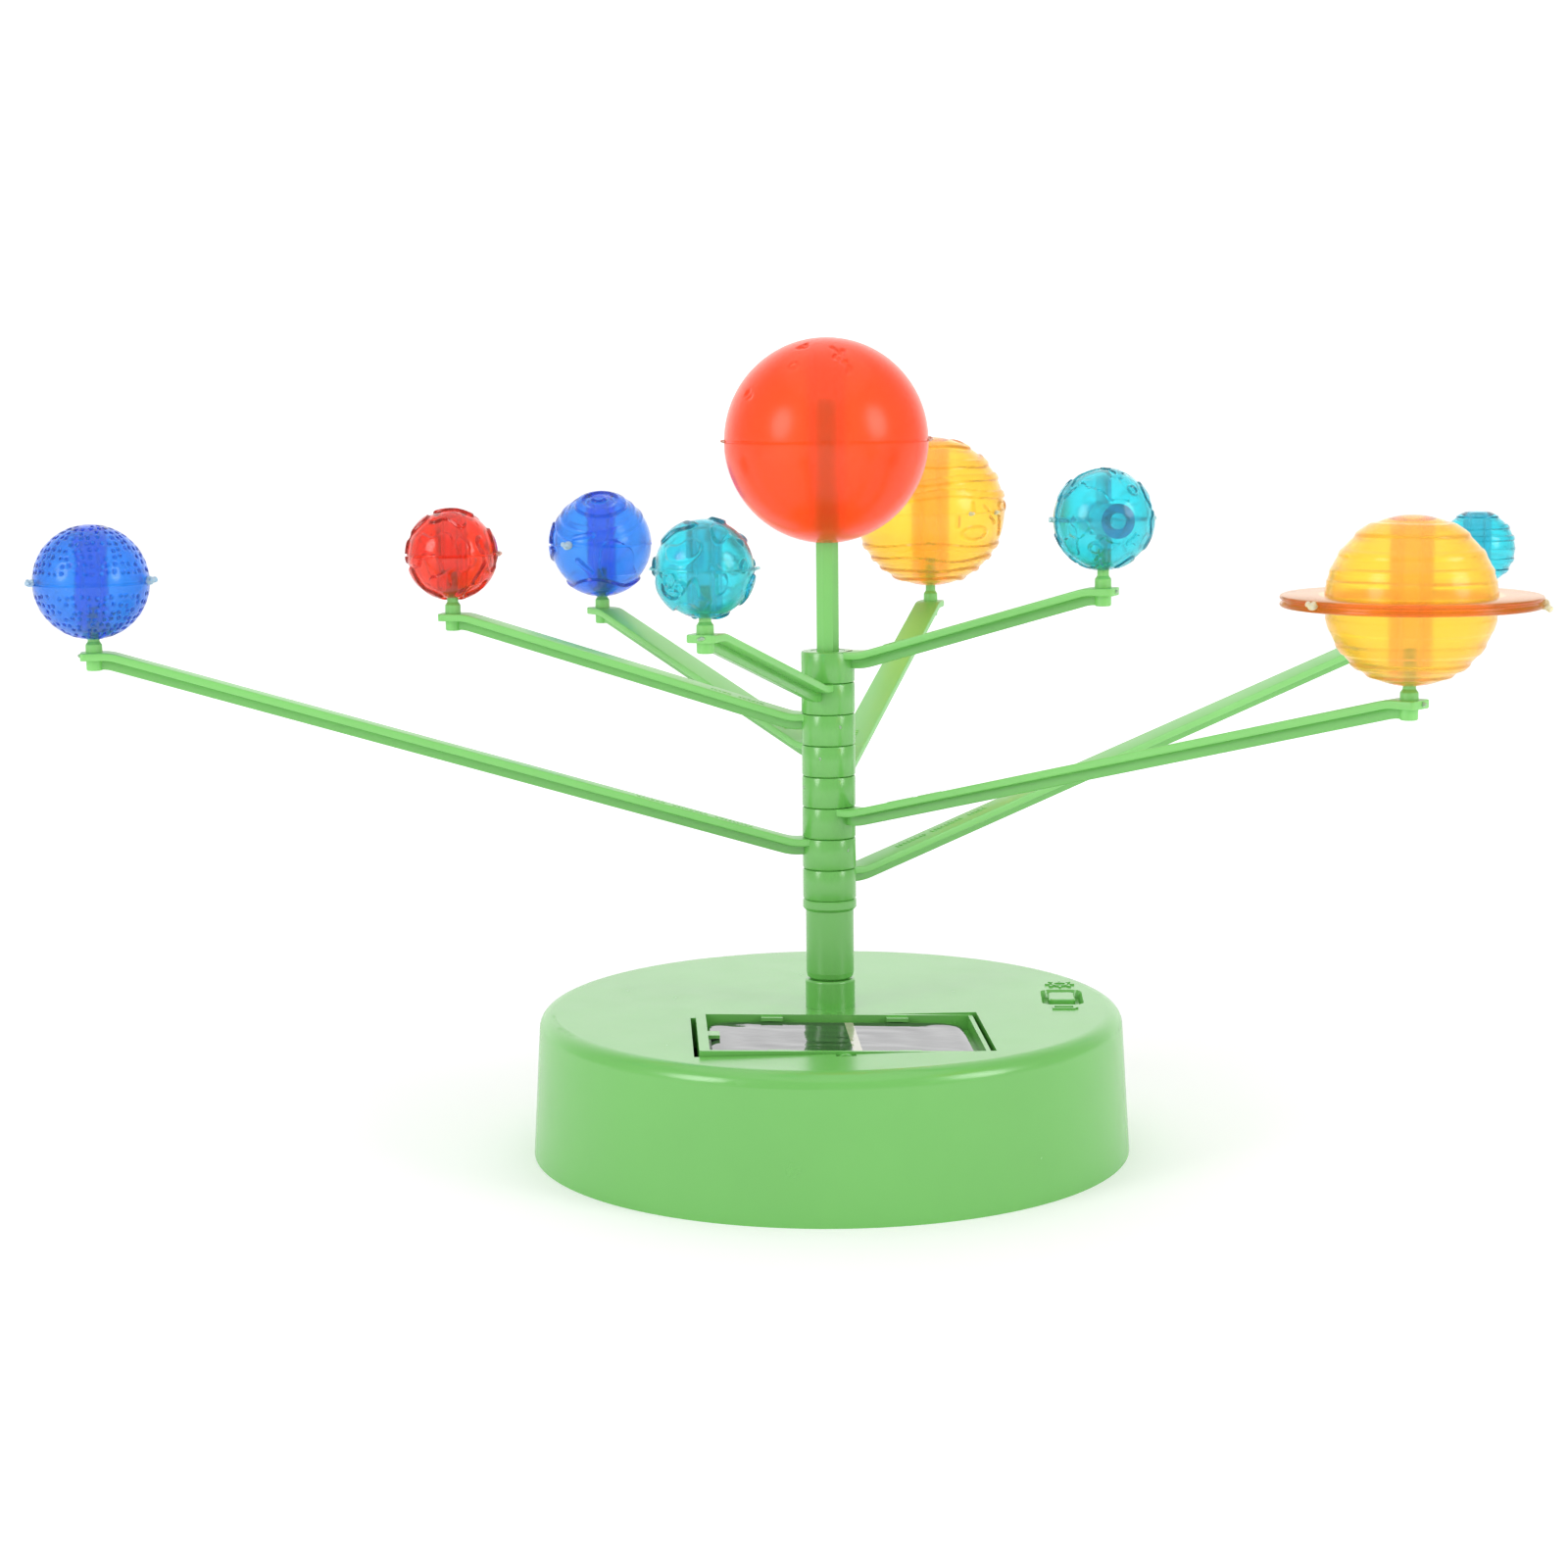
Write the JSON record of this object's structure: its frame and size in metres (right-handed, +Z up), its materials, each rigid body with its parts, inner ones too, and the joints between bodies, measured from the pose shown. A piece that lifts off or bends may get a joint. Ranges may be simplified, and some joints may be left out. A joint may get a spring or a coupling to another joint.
{
  "type": "orrery",
  "caption": "Tabletop orrery: planets on arms round a motor-driven column with a sun on top, in a round base with a tilting solar panel.",
  "frame": {"origin": "middle of the underside, on the axis of the column", "axes": "+Z up the column, +X along the solar panel with the switch on the right, -Y towards the front, where the panel is"},
  "size_m": [0.3687, 0.2669, 0.1887],
  "materials": {
    "green_plastic": "semi-gloss moulded ABS",
    "orange_sun": "translucent, lightly frosted polystyrene",
    "teal": "translucent polystyrene",
    "red": "translucent polystyrene",
    "royal_blue": "translucent polystyrene",
    "blue": "translucent polystyrene",
    "amber": "translucent polystyrene",
    "solar_cell": "epoxy over a silicon cell",
    "screw_steel": "zinc plated",
    "contact_metal": "nickel plated",
    "cell_label": "printed film",
    "motor_steel": "drawn steel",
    "axle_steel": "ground steel",
    "gear_plastic": "acetal",
    "gearbox_plastic": "ABS",
    "switch_black": "nylon"
  },
  "bodies": {
    "base": {"base_housing": "green_plastic", "bottom_cover": "green_plastic", "cover_screws": "screw_steel", "battery_door": "green_plastic", "battery_cell": "cell_label", "battery_contacts": "contact_metal", "gearbox_lower_plate": "gearbox_plastic", "gearbox_upper_plate": "gearbox_plastic", "gear_axles": "axle_steel", "motor_can": "motor_steel", "switch_body": "switch_black"},
    "column": {"spindle": "green_plastic", "output_gear": "gear_plastic", "retaining_clip": "contact_metal", "sun_post": "green_plastic", "sun_lower_shell": "orange_sun", "sun_upper_shell": "orange_sun"},
    "second_gear": {"reduction_gear_2": "gear_plastic"},
    "first_gear": {"reduction_gear_1": "gear_plastic"},
    "motor_rotor": {"motor_shaft": "axle_steel", "motor_pinion": "gear_plastic"},
    "solar_tray": {"solar_frame": "green_plastic", "solar_panel": "solar_cell"},
    "switch_slider": {"switch_knob": "green_plastic"},
    "arm_1_body": {"arm_1": "green_plastic"},
    "planet_1_body": {"planet_1_back_shell": "teal", "planet_1_front_shell": "teal"},
    "arm_2_body": {"arm_2": "green_plastic"},
    "planet_2_body": {"planet_2_lower_shell": "teal", "planet_2_upper_shell": "teal"},
    "arm_3_body": {"arm_3": "green_plastic"},
    "planet_3_body": {"planet_3_lower_shell": "red", "planet_3_upper_shell": "red"},
    "arm_4_body": {"arm_4": "green_plastic"},
    "planet_4_body": {"planet_4_lower_shell": "royal_blue", "planet_4_upper_shell": "royal_blue"},
    "arm_5_body": {"arm_5": "green_plastic"},
    "planet_5_body": {"planet_5_lower_shell": "amber", "planet_5_upper_shell": "amber"},
    "arm_6_body": {"arm_6": "green_plastic"},
    "planet_6_body": {"planet_6_lower_shell": "amber", "planet_6_upper_shell": "amber"},
    "arm_7_body": {"arm_7": "green_plastic"},
    "planet_7_body": {"planet_7_lower_shell": "blue", "planet_7_upper_shell": "blue"},
    "arm_8_body": {"arm_8": "green_plastic"},
    "planet_8_body": {"planet_8_lower_shell": "teal", "planet_8_upper_shell": "teal"}
  },
  "joints": [
    {"name": "column_turn", "type": "hinge", "parent": "base", "child": "column", "pos_m": [0, 0, 0.03], "axis": [0, 0, 1], "continuous": true},
    {"name": "second_gear_turn", "type": "hinge", "parent": "base", "child": "second_gear", "pos_m": [0.0075, 0.01299, 0.012], "axis": [0, 0, 1], "continuous": true},
    {"name": "first_gear_turn", "type": "hinge", "parent": "base", "child": "first_gear", "pos_m": [0.0225, 0.01299, 0.008], "axis": [0, 0, 1], "continuous": true},
    {"name": "motor_turn", "type": "hinge", "parent": "base", "child": "motor_rotor", "pos_m": [0.03, 0, 0.008], "axis": [0, 0, 1], "continuous": true},
    {"name": "solar_tilt", "type": "hinge", "parent": "base", "child": "solar_tray", "pos_m": [0, -0.03, 0.0313], "axis": [0, 1, 0], "range_deg": [-25, 22]},
    {"name": "switch_slide", "type": "slide", "parent": "base", "child": "switch_slider", "axis": [0.1045, 0.9945, 0], "range_m": [-0.0036, 0]},
    {"name": "arm_1_swing", "type": "hinge", "parent": "column", "child": "arm_1_body", "pos_m": [0, 0, 0.11342], "axis": [0, 0, 1], "range_deg": [-65, 120]},
    {"name": "planet_1_spin", "type": "hinge", "parent": "arm_1_body", "child": "planet_1_body", "pos_m": [0.05932, -0.02893, 0.125], "axis": [0, 0, 1], "continuous": true},
    {"name": "arm_2_swing", "type": "hinge", "parent": "column", "child": "arm_2_body", "pos_m": [0, 0, 0.10616], "axis": [0, 0, 1], "range_deg": [-60, 65]},
    {"name": "planet_2_spin", "type": "hinge", "parent": "arm_2_body", "child": "planet_2_body", "pos_m": [-0.02991, -0.06593, 0.125], "axis": [0, 0, 1], "continuous": true},
    {"name": "arm_3_swing", "type": "hinge", "parent": "column", "child": "arm_3_body", "pos_m": [0, 0, 0.0989], "axis": [0, 0, 1], "range_deg": [-28, 60]},
    {"name": "planet_3_spin", "type": "hinge", "parent": "arm_3_body", "child": "planet_3_body", "pos_m": [-0.08733, 0.02177, 0.125], "axis": [0, 0, 1], "continuous": true},
    {"name": "arm_4_swing", "type": "hinge", "parent": "column", "child": "arm_4_body", "pos_m": [0, 0, 0.09164], "axis": [0, 0, 1], "range_deg": [-32, 28]},
    {"name": "planet_4_spin", "type": "hinge", "parent": "arm_4_body", "child": "planet_4_body", "pos_m": [-0.05266, 0.0856, 0.125], "axis": [0, 0, 1], "continuous": true},
    {"name": "arm_5_swing", "type": "hinge", "parent": "column", "child": "arm_5_body", "pos_m": [0, 0, 0.08438], "axis": [0, 0, 1], "range_deg": [-95, 32]},
    {"name": "planet_5_spin", "type": "hinge", "parent": "arm_5_body", "child": "planet_5_body", "pos_m": [0.03545, 0.11381, 0.125], "axis": [0, 0, 1], "continuous": true},
    {"name": "arm_6_swing", "type": "hinge", "parent": "column", "child": "arm_6_body", "pos_m": [0, 0, 0.07712], "axis": [0, 0, 1], "range_deg": [-110, 95]},
    {"name": "planet_6_spin", "type": "hinge", "parent": "arm_6_body", "child": "planet_6_body", "pos_m": [0.10748, -0.10748, 0.125], "axis": [0, 0, 1], "continuous": true},
    {"name": "arm_7_swing", "type": "hinge", "parent": "column", "child": "arm_7_body", "pos_m": [0, 0, 0.06986], "axis": [0, 0, 1], "range_deg": [-95, 105]},
    {"name": "planet_7_spin", "type": "hinge", "parent": "arm_7_body", "child": "planet_7_body", "pos_m": [-0.16459, -0.0173, 0.125], "axis": [0, 0, 1], "continuous": true},
    {"name": "arm_8_swing", "type": "hinge", "parent": "column", "child": "arm_8_body", "pos_m": [0, 0, 0.0626], "axis": [0, 0, 1], "continuous": true},
    {"name": "planet_8_spin", "type": "hinge", "parent": "arm_8_body", "child": "planet_8_body", "pos_m": [0.17895, 0.09435, 0.125], "axis": [0, 0, 1], "continuous": true}
  ],
  "couplings": [
    {"joint": "second_gear_turn", "follows": "column_turn", "ratio": -4},
    {"joint": "first_gear_turn", "follows": "column_turn", "ratio": 16},
    {"joint": "motor_turn", "follows": "column_turn", "ratio": -64}
  ]
}
